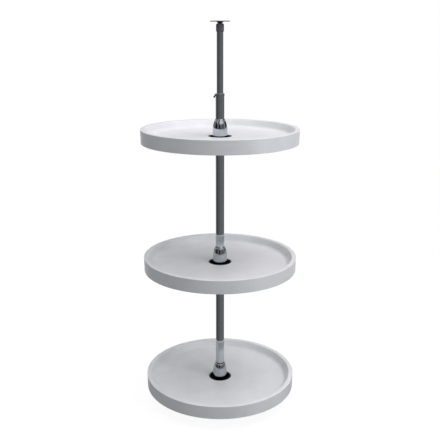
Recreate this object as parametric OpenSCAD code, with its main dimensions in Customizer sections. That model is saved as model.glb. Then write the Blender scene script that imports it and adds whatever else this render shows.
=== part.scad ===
// Three-tier full-circle carousel for a corner cabinet: round moulded trays
// clamped to a telescopic post that turns between a floor flange and a top plate.
// Millimetres, +Z up. The post's axis is the Z axis and the floor is at z = 0.

/* [Trays] */
// Outer diameter of a tray
tray_d = 457; // [300:1:700]
// Height of a tray from the skirt's lower edge to the rim
tray_h = 40; // [36:1:60]
// How far the outer wall leans in at its lower edge
tray_draft = 0.8; // [0:0.1:3]
// Width of the flat rim
rim_w = 13; // [9:0.5:20]
// Depth of the floor below the rim
floor_drop = 22; // [12:0.5:26]
// Wall thickness of the moulding
tray_wall = 3; // [2:0.1:4]
// Rounding of the rim's two edges
rim_round = 1.6; // [0.5:0.1:2.5]
// How far the inner wall leans in from the rim to the floor
wall_lean = 6; // [2:0.5:15]
// Radius of the bend between the inner wall and the floor
floor_fillet = 12; // [4:0.5:15]
// Number of radial ribs under the floor
rib_count = 12; // [6:1:20]
// Thickness of a rib
rib_t = 2.4; // [1.5:0.1:4]
// Depth of the ribs below the floor's underside
rib_drop = 9; // [4:0.5:11]
// Radius of the ring rib under the floor
ring_rib_r = 130; // [80:1:140]

/* [Tier spacing] */
// Height of the lowest tray's lower edge above the floor
bottom_clear = 40; // [36:1:120]
// Height from one tray to the next
pitch = 381; // [250:1:450]

/* [Hub] */
// Diameter of the hole in the tray's floor
hole_d = 69; // [60:0.5:90]
// Thickness of the tray's floor round the hole
pad_t = 6; // [5:0.5:8]
// Diameter of the hub's flange under the tray
hub_flange_d = 106; // [96:1:130]
// Thickness of the hub's flange and of the well's bottom
hub_t = 3; // [2:0.1:5]
// Wall of the hub's well
well_wall = 2.6; // [2:0.1:4]
// Depth of the well below the tray's floor
well_depth = 18; // [12:0.5:24]
// Wall of the hub's sleeve inside the bell
sleeve_wall = 1.5; // [1:0.1:2]
// Wall of the split end of the sleeve under the clamp
collet_wall = 3.2; // [2:0.1:5]
// Length of the split end below the well
collet_l = 15; // [12:0.5:25]
// Number of slots in the split end
slot_count = 4; // [2:1:8]
// Width of a slot
slot_w = 2; // [1:0.1:3]
// Diameter of the circle of screws that hold the hub to the tray
hub_pcd = 87; // [85:0.5:100]
// Number of those screws
hub_screw_count = 4; // [3:1:6]
// Diameter of those screws
hub_screw_d = 4; // [3:0.1:5]
// Diameter of their heads
hub_head_d = 8; // [6:0.1:9]
// Height of their heads
hub_head_h = 2.6; // [2:0.1:4]
// Length of their shanks
hub_screw_l = 7.5; // [6:0.1:8]

/* [Bell] */
// Diameter of the bell's straight lower part
bell_d = 42.8; // [40:0.2:54]
// Diameter of the bell just below its shoulder
shoulder_d = 34.2; // [34.2:0.2:36]
// Height of the bell's top above the tray's rim
bell_rise = 23; // [16:0.5:40]
// Height of the bell's dome, down to the straight part
dome_h = 28.5; // [15:0.5:30]
// Radius of the shoulder
shoulder_r = 4; // [1:0.1:4]
// Wall of the bell
bell_wall = 1.2; // [0.8:0.1:2]
// Height of the bell's neck above its shoulder
neck_rise = 4; // [1:0.1:6]
// Wall of that neck at its end
neck_wall = 0.5; // [0.4:0.1:1]
// Wall of that neck at its foot
neck_foot_wall = 2.2; // [1.2:0.1:2.4]

/* [Clamp] */
// Height of the clamp collar
clamp_h = 10; // [9:0.5:12]
// Wall of the clamp collar
clamp_wall = 4; // [3:0.1:6]
// Gap between the collar's ears
clamp_gap = 2.4; // [1:0.1:4]
// Thickness of an ear
ear_t = 4.5; // [3:0.1:6]
// Reach of the ears beyond the collar
ear_l = 9; // [8:0.5:12]
// Diameter of the clamp screw
clamp_screw_d = 4; // [3:0.1:5]
// Diameter of the clamp screw's head
clamp_head_d = 7; // [5.5:0.1:8]
// Height of the clamp screw's head
clamp_head_h = 4; // [3:0.1:5]
// Width across flats of the clamp screw's socket
clamp_hex = 3; // [2:0.1:4]

/* [Post] */
// Diameter of the outer tube
outer_d = 25.4; // [24:0.1:30]
// Wall of the outer tube
outer_wall = 1.2; // [1:0.1:1.4]
// Height of the outer tube's mouth above the top tray's rim
mouth_rise = 99; // [85:1:200]
// Diameter of the inner tube
inner_d = 19.05; // [17:0.05:20]
// Wall of the inner tube
inner_wall = 1.2; // [1:0.1:2.5]
// Length of the inner tube seen between the mouth and the top cap
inner_show = 168; // [160:0.5:400]
// Length of the inner tube held inside the outer tube
inner_held_l = 180; // [130:1:300]
// Length of the guide bush in the mouth
bush_l = 38; // [20:1:60]
// Height of the guide ring at the inner tube's lower end
tail_h = 15; // [8:0.5:30]

/* [Lock] */
// Height of the lock ferrule on the mouth
ferrule_h = 8; // [8:0.5:14]
// Wall of the ferrule
ferrule_wall = 0.55; // [0.4:0.05:1]
// Thickness of the ferrule's lip over the tube's end
lip_t = 1.5; // [1:0.1:2]
// Depth of the lever's pivot below the mouth
pivot_drop = 5; // [4.6:0.1:6]
// Distance from the outer tube's face to the lever's pivot
pivot_out = 0.9; // [0.8:0.1:1.5]
// Diameter of the lever's pin
lever_pin_d = 1.8; // [1.5:0.1:2]
// Radius of the cam round the pin
cam_r = 2; // [1.8:0.05:2.1]
// Offset of the cam from the pin's centre
cam_throw = 0.25; // [0.1:0.05:0.3]
// Width of the lever
lever_w = 5; // [4:0.1:6]
// Length of the lever from its pin to its end's centre
lever_l = 6; // [4:0.5:14]
// Thickness of the lever's arm
lever_t = 3.8; // [2:0.1:3.9]
// Lean of the closed lever away from the post, in degrees
lever_lean = 28; // [12:1:40]
// Radius of the lever's rounded end
lever_end_r = 2.5; // [1.5:0.1:3]
// Thickness of the lugs that hold the pin
lug_t = 1.8; // [1:0.1:3]
// Radius of the lugs round the pin
lug_r = 2.3; // [1.9:0.1:2.6]
// Height of the brake shoe
shoe_h = 5; // [3:0.1:6]
// Width of the brake shoe
shoe_w = 4.6; // [3:0.1:5]

/* [Top bearing] */
// Diameter of the top cap
cap_d = 22.2; // [21:0.1:26]
// Height of the top cap
cap_h = 22.4; // [15:0.2:30]
// Chamfer at the cap's upper edge
cap_top_bevel = 3; // [1:0.1:3]
// Chamfer at the cap's lower edge
cap_low_bevel = 1.4; // [0.3:0.1:1.4]
// Height of that chamfer
cap_low_h = 2.1; // [0.3:0.1:4]
// Thickness of the cap's crown above the inner tube
crown_t = 6.5; // [5:0.5:10]
// Length of the plug in the inner tube's upper end
plug_l = 26; // [15:1:50]
// Diameter of the top pivot pin
top_pin_d = 8; // [6:0.1:9]
// Height of the neck between the cap and the top plate
neck_h = 4.5; // [4:0.1:12]
// Diameter of the neck
neck_d = 13.6; // [12:0.1:16]
// Diameter of the flare under the plate
flare_d = 21; // [17:0.1:24]
// Height of the flare
flare_h = 2.8; // [1.5:0.1:3.5]
// Diameter of the top plate
top_plate_d = 55; // [50:0.5:90]
// Thickness of the top plate
top_plate_t = 2.5; // [2:0.1:4]
// Diameter of the top plate's circle of screw holes
top_pcd = 40; // [38:0.5:42]
// Number of screw holes in the top plate
top_holes = 3; // [3:1:6]
// Diameter of those holes
top_hole_d = 4.5; // [3:0.1:5]

/* [Floor bearing] */
// Diameter of the floor flange
flange_d = 104; // [95:1:140]
// Thickness of the floor flange
flange_t = 3; // [2:0.1:5]
// Diameter of the raised boss on the flange
boss_d = 34; // [30:0.5:45]
// Height of the boss above the flange
boss_h = 3; // [2:0.1:4]
// Diameter of the flange's circle of screw holes
flange_pcd = 80; // [70:0.5:84]
// Number of screw holes in the flange
flange_holes = 4; // [3:1:8]
// Diameter of those holes
flange_hole_d = 5.2; // [4:0.1:7]
// Diameter of the floor pivot pin
floor_pin_d = 10; // [8:0.1:12]
// Height of the floor pivot pin above the boss
floor_pin_l = 24; // [15:0.5:40]
// Diameter of the pin's riveted tail
tail_pin_d = 7; // [5:0.1:7.5]
// Thickness of the thrust washer
washer_t = 2; // [1:0.1:3]
// Diameter of the thrust washer
washer_d = 26; // [20:0.5:28]
// Diameter of the foot plug's flange
foot_d = 29; // [26.5:0.5:34]
// Height of the foot plug's flange
foot_h = 5; // [3:0.5:6]
// Length of the foot plug inside the outer tube
foot_l = 30; // [24:1:60]

/* [Hidden] */
$fn = 96;

// Clearances between pieces
fit = 0.05;        // pressed or running fit, on the radius
slide_fit = 0.075; // inner tube in its bush, on the radius
clear = 0.3;       // pieces that pass each other
face_gap = 0.1;    // faces that turn on each other
well_fit = 0.25;   // hub's well in the tray's hole, on the radius
shoe_gap = 0.25;   // open cam to brake shoe
cut = 1;           // how far a cutter runs past the face that it cuts

// Small edges and steps
flange_edge_r = 1;   // rounding of the floor flange's rim
boss_slope = 3;      // run of the boss's conical side
rivet_inset = 0.4;   // rivet head's face inside the flange's underside
rivet_head_t = 1;    // thickness of the rivet's head
rivet_lip = 1.2;     // reach of the rivet's head round the tail
pin_bevel = 2;       // bevel at the floor pin's tip
top_pin_bevel = 1;   // bevel at the top pin's tip
top_pin_inset = 0.8; // top pin's tip inside the top plate's face
pin_head_t = 2;      // thickness of the top pin's head under the plug
tail_floor_t = 2;    // floor of the tail guide under the inner tube
ferrule_round = 1.4; // rounding of the ferrule's outer edge
mouth_bevel = 0.5;   // bevel at the ferrule's bore
window_rise = 2;     // window in the outer tube below the ferrule
socket_lip = 0.4;    // straight edge of the flare under the plate
socket_inset = 0.3;  // socket's top face inside the plate's
hole_edge = 0.8;     // bevel round the hole in the tray's floor
pad_edge = 1.5;      // tray's thick middle beyond the hub's flange
pad_slope = 2;       // run of the step at its edge
hub_inset = 0.6;     // top of the hub's well below the tray's floor
slot_root = 1;       // solid stretch between the slots and the well
clamp_drop = 2;      // gap from the hub's well to the clamp collar
ear_root = 2;        // ears' root inside the collar
screw_tip = 1;       // clamp screw's tip beyond the far ear
hex_depth = 2;       // depth of the clamp screw's socket
cross_w = 1;         // width of the cross slot in the hub screws
cross_depth = 1.4;   // depth of that slot

outer_r = outer_d / 2;
outer_bore_r = outer_r - outer_wall;
inner_r = inner_d / 2;
inner_bore_r = inner_r - inner_wall;

// Heights from the floor up
boss_z = flange_t + boss_h;
foot_z = boss_z + washer_t + face_gap;
tube_z = foot_z + foot_h;
rim_z = bottom_clear + tray_h;
top_rim_z = rim_z + 2 * pitch;
mouth_z = top_rim_z + mouth_rise;
tube_end_z = mouth_z - lip_t - fit;
inner_end_z = mouth_z - inner_held_l;
cap_z = mouth_z + inner_show;
cap_top_z = cap_z + cap_h;
inner_top_z = cap_top_z - crown_t;
plate_z = cap_top_z + neck_h;

// Heights of one tier, from its tray's rim
floor_z = -floor_drop;
under_z = floor_z - tray_wall;
pad_z = floor_z - pad_t;
well_z = floor_z - well_depth;
collet_z = well_z - hub_t;
collet_end_z = collet_z - collet_l;
bell_h = bell_rise - well_z;
clamp_z = collet_z - clamp_drop - clamp_h;

tray_r = tray_d / 2;
hole_r = hole_d / 2;
pad_r = hub_flange_d / 2 + pad_edge;
well_r = hole_r - well_fit;
sleeve_bore_r = outer_r + fit;
sleeve_r = sleeve_bore_r + sleeve_wall;
collet_r = sleeve_bore_r + collet_wall;
clamp_bore_r = collet_r + fit;
clamp_r = clamp_bore_r + clamp_wall;
ear_y = clamp_r - ear_root;
ear_span = ear_l + ear_root;

pivot_x = -(outer_r + pivot_out);
pivot_z = mouth_z - pivot_drop;
window_w = lever_w + 2 * clear;
shoe_face_x = pivot_x + cam_throw + cam_r + shoe_gap;
bush_r = outer_bore_r - fit;

// Points of an arc about [x, y], from angle a to angle b
function arc(x, y, r, a, b, n = 8) =
    [for (i = [0:n]) let (t = a + (b - a) * i / n) [x + r * cos(t), y + r * sin(t)]];

// A tube standing on the plane z
module tube(z, h, r_out, r_in) {
    translate([0, 0, z])
        difference() {
            cylinder(r = r_out, h = h);
            translate([0, 0, -cut]) cylinder(r = r_in, h = h + 2 * cut);
        }
}

// Copies of its children on a circle
module on_circle(d, count, start = 0) {
    for (i = [0:count - 1])
        rotate([0, 0, start + i * 360 / count])
            translate([d / 2, 0, 0]) children();
}

// Floor bearing -------------------------------------------------------

module floor_flange() {
    head_r = tail_pin_d / 2 + rivet_lip;
    head_room = rivet_inset + rivet_head_t + face_gap;
    color("silver")
        difference() {
            rotate_extrude()
                polygon(concat(
                    [[0, 0], [flange_d / 2, 0]],
                    arc(flange_d / 2 - flange_edge_r, flange_t - flange_edge_r, flange_edge_r, 0, 90, 4),
                    [[boss_d / 2 + boss_slope, flange_t], [boss_d / 2, boss_z], [0, boss_z]]));
            on_circle(flange_pcd, flange_holes, 45)
                translate([0, 0, -cut]) cylinder(d = flange_hole_d, h = flange_t + 2 * cut);
            translate([0, 0, -cut]) cylinder(r = tail_pin_d / 2 + fit, h = boss_z + 2 * cut);
            translate([0, 0, -cut]) cylinder(r = head_r + clear, h = head_room + cut);
        }
}

module floor_pivot_pin() {
    r = floor_pin_d / 2;
    tail_r = tail_pin_d / 2;
    tip_z = boss_z + floor_pin_l;
    head_z = rivet_inset + rivet_head_t;
    color("gainsboro")
        rotate_extrude()
            polygon([
                [0, rivet_inset], [tail_r + rivet_lip, rivet_inset], [tail_r + rivet_lip, head_z],
                [tail_r, head_z], [tail_r, boss_z], [r, boss_z],
                [r, tip_z - pin_bevel], [r - pin_bevel, tip_z], [0, tip_z]]);
}

module thrust_washer() {
    color("ivory") tube(boss_z, washer_t, washer_d / 2, floor_pin_d / 2 + 2 * fit);
}

// Post ----------------------------------------------------------------

module outer_tube() {
    color("dimgray")
        difference() {
            tube(tube_z, tube_end_z - tube_z, outer_r, outer_bore_r);
            translate([-outer_r - cut, -window_w / 2, mouth_z - ferrule_h - window_rise])
                cube([outer_r, window_w, ferrule_h + window_rise]);
        }
}

module foot_plug() {
    bore_l = washer_t + floor_pin_l;
    color("black")
        difference() {
            union() {
                translate([0, 0, foot_z]) cylinder(d = foot_d, h = foot_h);
                translate([0, 0, tube_z - cut]) cylinder(r = outer_bore_r - fit, h = foot_l + cut);
            }
            translate([0, 0, foot_z - cut]) cylinder(r = floor_pin_d / 2 + fit, h = bore_l + cut);
        }
}

module guide_bush() {
    color("black")
        difference() {
            tube(tube_end_z - bush_l, bush_l, bush_r, inner_r + slide_fit);
            translate([-bush_r - cut, -shoe_w / 2 - fit, pivot_z - shoe_h / 2 - fit])
                cube([bush_r, shoe_w + 2 * fit, shoe_h + 2 * fit]);
        }
}

module lock_ferrule() {
    bore_r = inner_r + clear;
    r = outer_r + fit + ferrule_wall;
    low_z = mouth_z - ferrule_h;
    lug_y = window_w / 2;
    color("silver")
        difference() {
            union() {
                rotate_extrude()
                    polygon(concat(
                        [[bore_r, low_z], [r, low_z]],
                        arc(r - ferrule_round, mouth_z - ferrule_round, ferrule_round, 0, 90),
                        [[bore_r + mouth_bevel, mouth_z], [bore_r, mouth_z - mouth_bevel]]));
                for (y = [-lug_y - lug_t, lug_y])
                    translate([0, y, 0]) lug();
            }
            translate([0, 0, low_z - cut]) cylinder(r = outer_r + fit, h = ferrule_h - lip_t + cut);
            translate([-r - cut, -lug_y, low_z - cut])
                cube([outer_r, window_w, ferrule_h - lip_t + cut]);
            translate([pivot_x, 0, pivot_z]) rotate([90, 0, 0])
                cylinder(d = lever_pin_d + 2 * fit, h = 4 * lever_w, center = true);
        }
}

// One ear of the ferrule, in the plane y = 0 to y = lug_t
module lug() {
    translate([0, lug_t, 0]) rotate([90, 0, 0])
        linear_extrude(height = lug_t) {
            translate([pivot_x, pivot_z]) circle(r = lug_r);
            translate([pivot_x, pivot_z - lug_r]) square([outer_r / 2, 2 * lug_r]);
        }
}

module brake_shoe() {
    color("ivory")
        difference() {
            translate([shoe_face_x, -shoe_w / 2, pivot_z - shoe_h / 2])
                cube([outer_r / 2, shoe_w, shoe_h]);
            translate([0, 0, pivot_z - shoe_h])
                cylinder(r = inner_r + slide_fit, h = 2 * shoe_h);
            translate([shoe_face_x / 2, -outer_r, pivot_z - shoe_h])
                cube([outer_r, 2 * outer_r, 2 * shoe_h]);
        }
}

module lever_pin() {
    l = window_w + 2 * lug_t;
    color("gainsboro")
        translate([pivot_x, 0, pivot_z]) rotate([90, 0, 0])
            cylinder(d = lever_pin_d, h = l, center = true);
}

module lock_lever() {
    end_x = -lever_l * sin(lever_lean);
    end_z = -lever_l * cos(lever_lean);
    color("black")
        translate([pivot_x, lever_w / 2, pivot_z]) rotate([90, 0, 0])
            difference() {
                linear_extrude(height = lever_w) {
                    translate([cam_throw, 0]) circle(r = cam_r);
                    rotate(-90 - lever_lean)
                        translate([0, -lever_t / 2]) square([lever_l, lever_t]);
                    translate([end_x, end_z]) circle(r = lever_end_r);
                }
                translate([0, 0, -cut]) cylinder(r = lever_pin_d / 2 + fit, h = lever_w + 2 * cut);
            }
}

// Telescoping part ----------------------------------------------------

module inner_tube() {
    color("gray") tube(inner_end_z, inner_top_z - inner_end_z, inner_r, inner_bore_r);
}

module tail_guide() {
    z = inner_end_z - tail_floor_t;
    color("ivory")
        difference() {
            translate([0, 0, z]) cylinder(r = outer_bore_r - slide_fit, h = tail_h + tail_floor_t);
            translate([0, 0, inner_end_z]) cylinder(r = inner_r + fit, h = tail_h + cut);
            translate([0, 0, z - cut])
                cylinder(r = inner_bore_r - inner_wall, h = tail_floor_t + 2 * cut);
        }
}

module tube_plug() {
    color("ivory")
        tube(inner_top_z - plug_l, plug_l, inner_bore_r - fit, top_pin_d / 2 + fit);
}

module top_cap() {
    r = cap_d / 2;
    color([0.3, 0.3, 0.31])
        difference() {
            rotate_extrude()
                polygon([
                    [0, cap_z], [r - cap_low_bevel, cap_z], [r, cap_z + cap_low_h],
                    [r, cap_top_z - cap_top_bevel], [r - cap_top_bevel, cap_top_z], [0, cap_top_z]]);
            translate([0, 0, cap_z - cut])
                cylinder(r = inner_r + fit, h = inner_top_z - cap_z + cut);
            translate([0, 0, cap_z]) cylinder(r = top_pin_d / 2 + fit, h = cap_h + cut);
        }
}

module top_pivot_pin() {
    r = top_pin_d / 2;
    z = inner_top_z - plug_l;
    end_z = plate_z + top_plate_t - top_pin_inset;
    head_r = inner_bore_r - clear;
    color("gainsboro")
        rotate_extrude()
            polygon([
                [0, z - pin_head_t], [head_r, z - pin_head_t], [head_r, z],
                [r, z], [r, end_z - top_pin_bevel], [r - top_pin_bevel, end_z], [0, end_z]]);
}

module top_socket() {
    bottom_z = cap_top_z + clear;
    top_z = plate_z + top_plate_t - socket_inset;
    color([0.08, 0.08, 0.09])
        difference() {
            rotate_extrude()
                polygon([
                    [0, bottom_z], [neck_d / 2, bottom_z], [neck_d / 2, plate_z - flare_h],
                    [flare_d / 2, plate_z - socket_lip], [flare_d / 2, plate_z],
                    [neck_d / 2, plate_z], [neck_d / 2, top_z], [0, top_z]]);
            translate([0, 0, bottom_z - cut])
                cylinder(r = top_pin_d / 2 + fit, h = neck_h + top_plate_t + 2 * cut);
        }
}

module top_plate() {
    color("darkgray")
        difference() {
            translate([0, 0, plate_z]) cylinder(d = top_plate_d, h = top_plate_t);
            translate([0, 0, plate_z - cut]) cylinder(r = neck_d / 2 + fit, h = top_plate_t + 2 * cut);
            on_circle(top_pcd, top_holes, 30)
                translate([0, 0, plate_z - cut])
                    cylinder(d = top_hole_d, h = top_plate_t + 2 * cut);
        }
}

// One tier, with its tray's rim at z = 0 ------------------------------

// Half of the tray's section: one even wall, hollow under the rim
module tray_section() {
    top_in = tray_r - rim_w;
    foot_in = top_in - wall_lean;
    bend_r = foot_in - floor_fillet;
    wall_a = atan2(floor_drop, wall_lean) - 90;
    w = tray_wall;
    polygon(concat(
        [[tray_r - tray_draft, -tray_h]],
        arc(tray_r - rim_round, -rim_round, rim_round, 0, 90, 6),
        arc(top_in + rim_round, -rim_round, rim_round, 90, 180, 6),
        arc(bend_r, floor_z + floor_fillet, floor_fillet, wall_a, -90, 10),
        [[hole_r + hole_edge, floor_z], [hole_r, floor_z - hole_edge],
         [hole_r, pad_z], [pad_r, pad_z], [pad_r + pad_slope, under_z]],
        arc(bend_r, floor_z + floor_fillet, floor_fillet + w, -90, wall_a, 10),
        [[top_in + w, -w], [tray_r - w, -w], [tray_r - tray_draft - w, -tray_h]]));
}

module tray() {
    rib_l = tray_r - tray_draft - tray_wall / 2 - pad_r;
    color([0.93, 0.93, 0.94])
        difference() {
            union() {
                rotate_extrude($fn = 180) tray_section();
                for (i = [0:rib_count - 1])
                    rotate([0, 0, (i + 0.5) * 360 / rib_count])
                        translate([pad_r, -rib_t / 2, under_z - rib_drop])
                            cube([rib_l, rib_t, rib_drop + tray_wall / 2]);
                tube(under_z - rib_drop, rib_drop + tray_wall / 2, ring_rib_r, ring_rib_r - rib_t);
            }
            on_circle(hub_pcd, hub_screw_count)
                translate([0, 0, pad_z - cut])
                    cylinder(r = hub_screw_d / 2 + fit, h = hub_screw_l - hub_t + fit + cut);
        }
}

module hub() {
    top_z = bell_rise - bell_wall - shoulder_r;
    slot_r = collet_r + cut;
    well_top_z = floor_z - hub_inset;
    color([0.1, 0.1, 0.11])
        difference() {
            union() {
                translate([0, 0, collet_z]) cylinder(r = well_r, h = well_top_z - collet_z);
                translate([0, 0, pad_z - hub_t]) cylinder(d = hub_flange_d, h = hub_t);
                translate([0, 0, collet_end_z]) cylinder(r = collet_r, h = collet_l + cut);
            }
            difference() {
                translate([0, 0, well_z]) cylinder(r = well_r - well_wall, h = well_depth);
                translate([0, 0, well_z - cut]) cylinder(r = sleeve_r, h = well_depth + 2 * cut);
            }
            translate([0, 0, collet_end_z - cut])
                cylinder(r = sleeve_bore_r, h = floor_z - collet_end_z + 2 * cut);
            on_circle(hub_pcd, hub_screw_count)
                translate([0, 0, pad_z - hub_t - cut])
                    cylinder(r = hub_screw_d / 2 + clear, h = hub_t + 2 * cut);
            for (i = [0:slot_count - 1])
                rotate([0, 0, (i + 0.5) * 360 / slot_count])
                    translate([0, -slot_w / 2, collet_end_z - cut])
                        cube([slot_r, slot_w, collet_l - slot_root + cut]);
        }
    color([0.1, 0.1, 0.11])
        tube(well_top_z, top_z - well_top_z, sleeve_r, sleeve_bore_r);
}

module bell() {
    r = bell_d / 2;
    s = shoulder_d / 2;
    z = bell_rise;
    w = bell_wall;
    bore_r = outer_r + clear;
    foot_r = bore_r + neck_foot_wall;
    side_z = z - dome_h;
    c = s - shoulder_r;
    h = dome_h - shoulder_r;
    // radius of the side's long arc, upright where it meets the straight part and
    // touching the shoulder's arc at the angle a
    dome_r = ((r - c) * (r - c) + h * h - shoulder_r * shoulder_r) / (2 * (r - s));
    a = asin(h / (dome_r - shoulder_r));
    color([0.75, 0.76, 0.78])
        rotate_extrude()
            polygon(concat(
                [[bore_r, z + neck_rise], [bore_r + neck_wall, z + neck_rise], [foot_r, z]],
                arc(c, z - shoulder_r, shoulder_r, acos((foot_r - c) / shoulder_r), a),
                arc(r - dome_r, side_z, dome_r, a, 0, 12),
                [[r, well_z], [r - w, well_z]],
                arc(r - dome_r, side_z, dome_r - w, 0, a, 12),
                arc(c, z - shoulder_r, shoulder_r - w, a, 90),
                [[bore_r, z - w]]));
}

module clamp() {
    color("gray")
        difference() {
            union() {
                translate([0, 0, clamp_z]) cylinder(r = clamp_r, h = clamp_h);
                translate([-clamp_gap / 2 - ear_t, ear_y, clamp_z])
                    cube([clamp_gap + 2 * ear_t, ear_span, clamp_h]);
            }
            translate([0, 0, clamp_z - cut]) cylinder(r = clamp_bore_r, h = clamp_h + 2 * cut);
            translate([-clamp_gap / 2, 0, clamp_z - cut])
                cube([clamp_gap, ear_y + ear_span + cut, clamp_h + 2 * cut]);
            clamp_axis() cylinder(r = clamp_screw_d / 2 + fit, h = 4 * ear_t, center = true);
        }
}

// Turns its children's z axis to lie along the clamp screw
module clamp_axis() {
    translate([0, clamp_r + ear_l / 2, clamp_z + clamp_h / 2]) rotate([0, 90, 0]) children();
}

module clamp_screw() {
    seat = clamp_gap / 2 + ear_t;
    color("black")
        clamp_axis()
            difference() {
                union() {
                    translate([0, 0, -seat - screw_tip])
                        cylinder(d = clamp_screw_d, h = 2 * seat + screw_tip + cut);
                    translate([0, 0, seat]) cylinder(d = clamp_head_d, h = clamp_head_h);
                }
                translate([0, 0, seat + clamp_head_h - hex_depth])
                    cylinder(d = clamp_hex / cos(30), h = hex_depth + cut, $fn = 6);
            }
}

module hub_screws() {
    color("silver")
        on_circle(hub_pcd, hub_screw_count)
            translate([0, 0, pad_z - hub_t])
                difference() {
                    union() {
                        cylinder(d = hub_screw_d, h = hub_screw_l);
                        rotate_extrude()
                            polygon([
                                [0, 0], [hub_head_d / 2, 0], [hub_head_d / 2, -0.5 * hub_head_h],
                                [hub_head_d / 3, -hub_head_h], [0, -hub_head_h]]);
                    }
                    for (a = [0, 90])
                        rotate([0, 0, a])
                            translate([-hub_head_d / 4, -cross_w / 2, -hub_head_h - cut])
                                cube([hub_head_d / 2, cross_w, cut + cross_depth]);
                }
}

module tier(n) {
    translate([0, 0, rim_z + n * pitch]) children();
}

floor_flange();
floor_pivot_pin();
thrust_washer();
outer_tube();
foot_plug();
guide_bush();
lock_ferrule();
brake_shoe();
lever_pin();
lock_lever();
inner_tube();
tail_guide();
tube_plug();
top_cap();
top_pivot_pin();
top_socket();
top_plate();
tier(0) tray();  // tray_bottom
tier(0) hub();  // hub_bottom
tier(0) bell();  // bell_bottom
tier(0) clamp();  // clamp_bottom
tier(0) clamp_screw();  // clamp_screw_bottom
tier(0) hub_screws();  // hub_screws_bottom
tier(1) tray();  // tray_middle
tier(1) hub();  // hub_middle
tier(1) bell();  // bell_middle
tier(1) clamp();  // clamp_middle
tier(1) clamp_screw();  // clamp_screw_middle
tier(1) hub_screws();  // hub_screws_middle
tier(2) tray();  // tray_top
tier(2) hub();  // hub_top
tier(2) bell();  // bell_top
tier(2) clamp();  // clamp_top
tier(2) clamp_screw();  // clamp_screw_top
tier(2) hub_screws();  // hub_screws_top
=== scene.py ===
import math

import bmesh
import bpy
from mathutils import Matrix, Vector


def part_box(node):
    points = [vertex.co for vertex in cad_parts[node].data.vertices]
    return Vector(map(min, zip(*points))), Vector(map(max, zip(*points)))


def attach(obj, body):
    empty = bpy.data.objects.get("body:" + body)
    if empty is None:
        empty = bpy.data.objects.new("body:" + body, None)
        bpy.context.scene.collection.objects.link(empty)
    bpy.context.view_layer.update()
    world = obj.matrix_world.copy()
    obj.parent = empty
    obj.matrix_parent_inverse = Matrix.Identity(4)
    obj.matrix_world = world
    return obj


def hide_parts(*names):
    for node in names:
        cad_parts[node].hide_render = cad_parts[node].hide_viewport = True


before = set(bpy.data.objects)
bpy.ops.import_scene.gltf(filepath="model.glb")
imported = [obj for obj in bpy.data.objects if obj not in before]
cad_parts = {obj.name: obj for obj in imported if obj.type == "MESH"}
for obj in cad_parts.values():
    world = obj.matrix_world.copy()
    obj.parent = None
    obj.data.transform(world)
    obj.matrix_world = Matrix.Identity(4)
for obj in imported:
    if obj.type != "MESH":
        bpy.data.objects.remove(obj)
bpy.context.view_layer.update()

mm = 0.001
fullTurn = 2 * math.pi
origin = Vector((0, 0, 0))
past = 1  # how far a cutting tool reaches past what it cuts, in mm
slack = 0.05  # between a round bar and the hole that it goes through, in mm


# materials

def hexColour(code):
    parts = [int(code[i:i + 2], 16) / 255 for i in (1, 3, 5)]
    return [p / 12.92 if p <= 0.04045 else ((p + 0.055) / 1.055) ** 2.4 for p in parts] + [1.0]


def addNode(tree, kind, settings=None, links=None):
    node = tree.nodes.new(kind)
    for key, value in (settings or {}).items():
        if isinstance(key, int) or key in node.inputs:
            node.inputs[key].default_value = value
        else:
            setattr(node, key, value)
    for key, source in (links or {}).items():
        tree.links.new(source, node.inputs[key])
    return node


def startMaterial(name):
    material = bpy.data.materials.new(name)
    material.use_nodes = True
    tree = material.node_tree
    tree.nodes.clear()
    place = addNode(tree, "ShaderNodeTexCoord").outputs["Object"]
    return material, tree, place


def finishMaterial(tree, shader):
    addNode(tree, "ShaderNodeOutputMaterial", {}, {"Surface": shader.outputs[0]})


# a feature size in millimetres as a texture scale, in features per metre
def perMetre(size):
    return 1 / (size * mm)


# what a finish has where it doesn't say otherwise
usual = {"patchDetail": 4, "grainDetail": 2, "stretch": (1, 1, 1), "relief": 0.5, "sockets": {}}
noiseSpan = (0.35, 0.68)  # the broad noise between these runs from one colour to the other


# a finish of two noise patterns in one material: a broad one that shifts colour and
# shine, and a fine one that is pressed into the surface
def makeFinish(look):
    look = usual | look
    material, tree, place = startMaterial(look["name"])
    broad = addNode(tree, "ShaderNodeTexNoise",
                    {"Scale": perMetre(look["patch"]), "Detail": look["patchDetail"]},
                    {"Vector": place})
    spread = addNode(tree, "ShaderNodeMapRange",
                     {"From Min": noiseSpan[0], "From Max": noiseSpan[1]},
                     {"Value": broad.outputs["Fac"]})
    first, second = [hexColour(code) for code in look["colours"]]
    colour = addNode(tree, "ShaderNodeMix", {"data_type": "RGBA", 6: first, 7: second},
                     {0: spread.outputs[0]})
    low, high = look["rough"]
    rough = addNode(tree, "ShaderNodeMapRange", {"To Min": low, "To Max": high},
                    {"Value": spread.outputs[0]})
    stretch = addNode(tree, "ShaderNodeMapping", {"Scale": look["stretch"]}, {"Vector": place})
    fine = addNode(tree, "ShaderNodeTexNoise",
                   {"Scale": perMetre(look["grain"]), "Detail": look["grainDetail"]},
                   {"Vector": stretch.outputs[0]})
    relief = addNode(tree, "ShaderNodeBump",
                     {"Distance": look["depth"] * mm, "Strength": look["relief"]},
                     {"Height": fine.outputs["Fac"]})
    shader = addNode(tree, "ShaderNodeBsdfPrincipled", look["sockets"], {
        "Base Color": colour.outputs[2], "Roughness": rough.outputs[0],
        "Normal": relief.outputs[0]})
    finishMaterial(tree, shader)
    return material


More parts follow.
